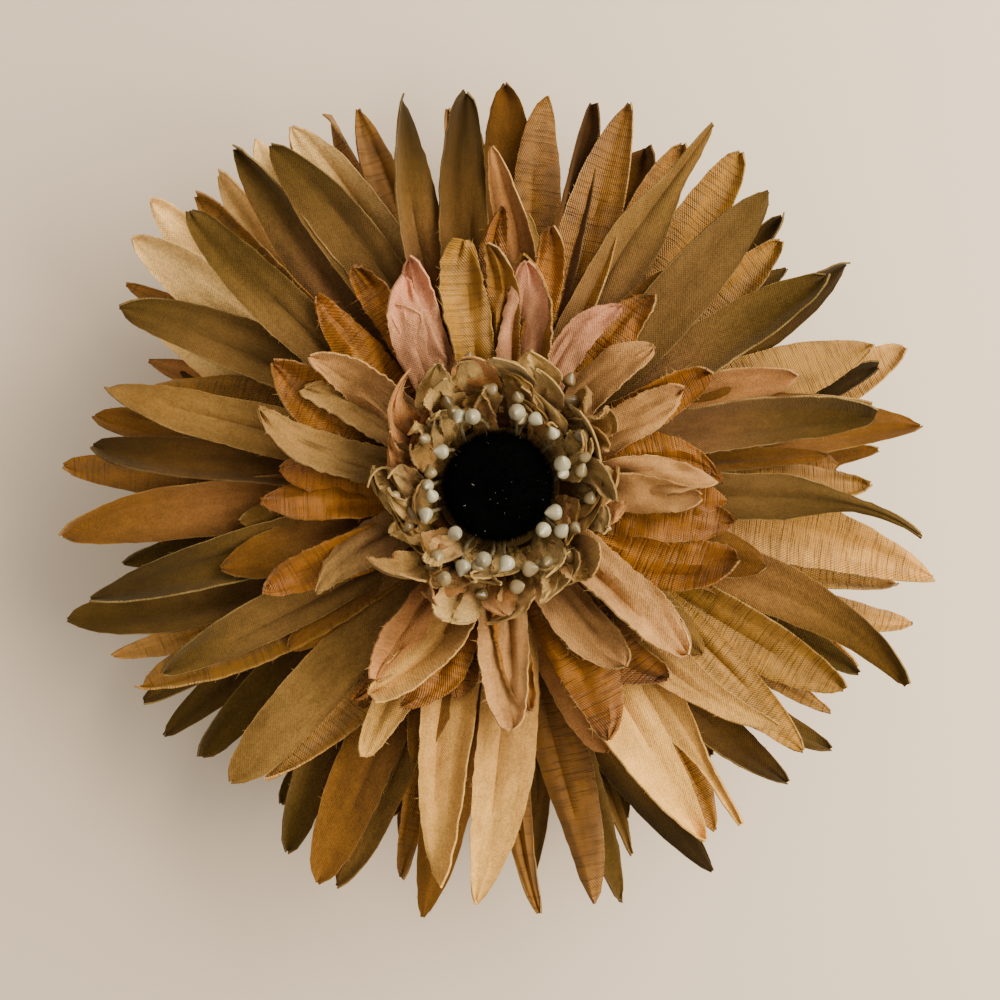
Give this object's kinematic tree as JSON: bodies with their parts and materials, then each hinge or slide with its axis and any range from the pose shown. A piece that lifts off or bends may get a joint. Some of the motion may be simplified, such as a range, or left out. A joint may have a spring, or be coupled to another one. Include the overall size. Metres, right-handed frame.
{
  "type": "flower hair clip",
  "caption": "Hair clip with a layered cloth gerbera: dyed petal whorls and beaded stamens round a dark pile centre, glued to a sprung steel alligator clip.",
  "frame": {"origin": "on the flower's axis, level with the lowest faces of the clip, which the clip rests on", "axes": "+Z along the flower's axis, face up; +Y along the clip towards its finger levers, with the jaws' tips towards -Y; +X is the hinge's axis"},
  "size_m": [0.118, 0.118, 0.0359],
  "materials": {
    "plated_steel": "bright nickel plating, pressed sheet",
    "spring_wire": "drawn spring wire",
    "hot_melt_glue": "translucent, cloudy",
    "felt": "dense felt",
    "calyx_plastic": "moulded, satin",
    "spindle_plastic": "moulded, satin",
    "black_pile": "flocked pile",
    "bead_olive": "translucent, glossy",
    "bead_tan": "translucent, glossy",
    "bead_pearl": "pearl, glossy",
    "cloth_floret_outer": "crinkled satin, frayed pale edges",
    "cloth_floret_inner": "crinkled satin, frayed pale edges",
    "cloth_pale": "dyed satin, tan and peach",
    "cloth_amber_inner": "dyed satin, amber",
    "cloth_middle": "dyed satin, cream and tan",
    "cloth_outer_1": "dyed satin, amber",
    "cloth_outer_2": "dyed matte cloth, olive",
    "cloth_outer_3": "dyed satin, peach",
    "cloth_outer_4": "dyed satin, amber",
    "cloth_outer_5": "dyed matte cloth, olive brown"
  },
  "bodies": {
    "flower": {"clip_base": "plated_steel", "pivot_pin": "plated_steel", "torsion_spring": "spring_wire", "glue_strip": "hot_melt_glue", "felt_disc": "felt", "glue_pad": "hot_melt_glue", "calyx": "calyx_plastic", "outer_whorl_1": "cloth_outer_1", "outer_whorl_2": "cloth_outer_2", "outer_whorl_3": "cloth_outer_3", "outer_whorl_4": "cloth_outer_4", "outer_whorl_5": "cloth_outer_5", "middle_whorl": "cloth_middle", "amber_whorl": "cloth_amber_inner", "pale_whorl": "cloth_pale", "stamen_crown_outer": "bead_olive", "floret_whorl_outer": "cloth_floret_outer", "stamen_crown_middle": "bead_tan", "floret_whorl_inner": "cloth_floret_inner", "stamen_crown_inner": "bead_pearl", "spindle": "spindle_plastic", "centre_pile": "black_pile"},
    "jaw": {"clip_jaw": "plated_steel"}
  },
  "joints": [
    {"name": "clip_hinge", "type": "hinge", "parent": "flower", "child": "jaw", "pos_m": [0, 0.0035, 0.0077], "axis": [1, 0, 0], "range_deg": [0, 20], "stiffness_Nm_per_rad": 0.15, "springref_deg": -28.65, "deforming": ["torsion_spring"]}
  ]
}
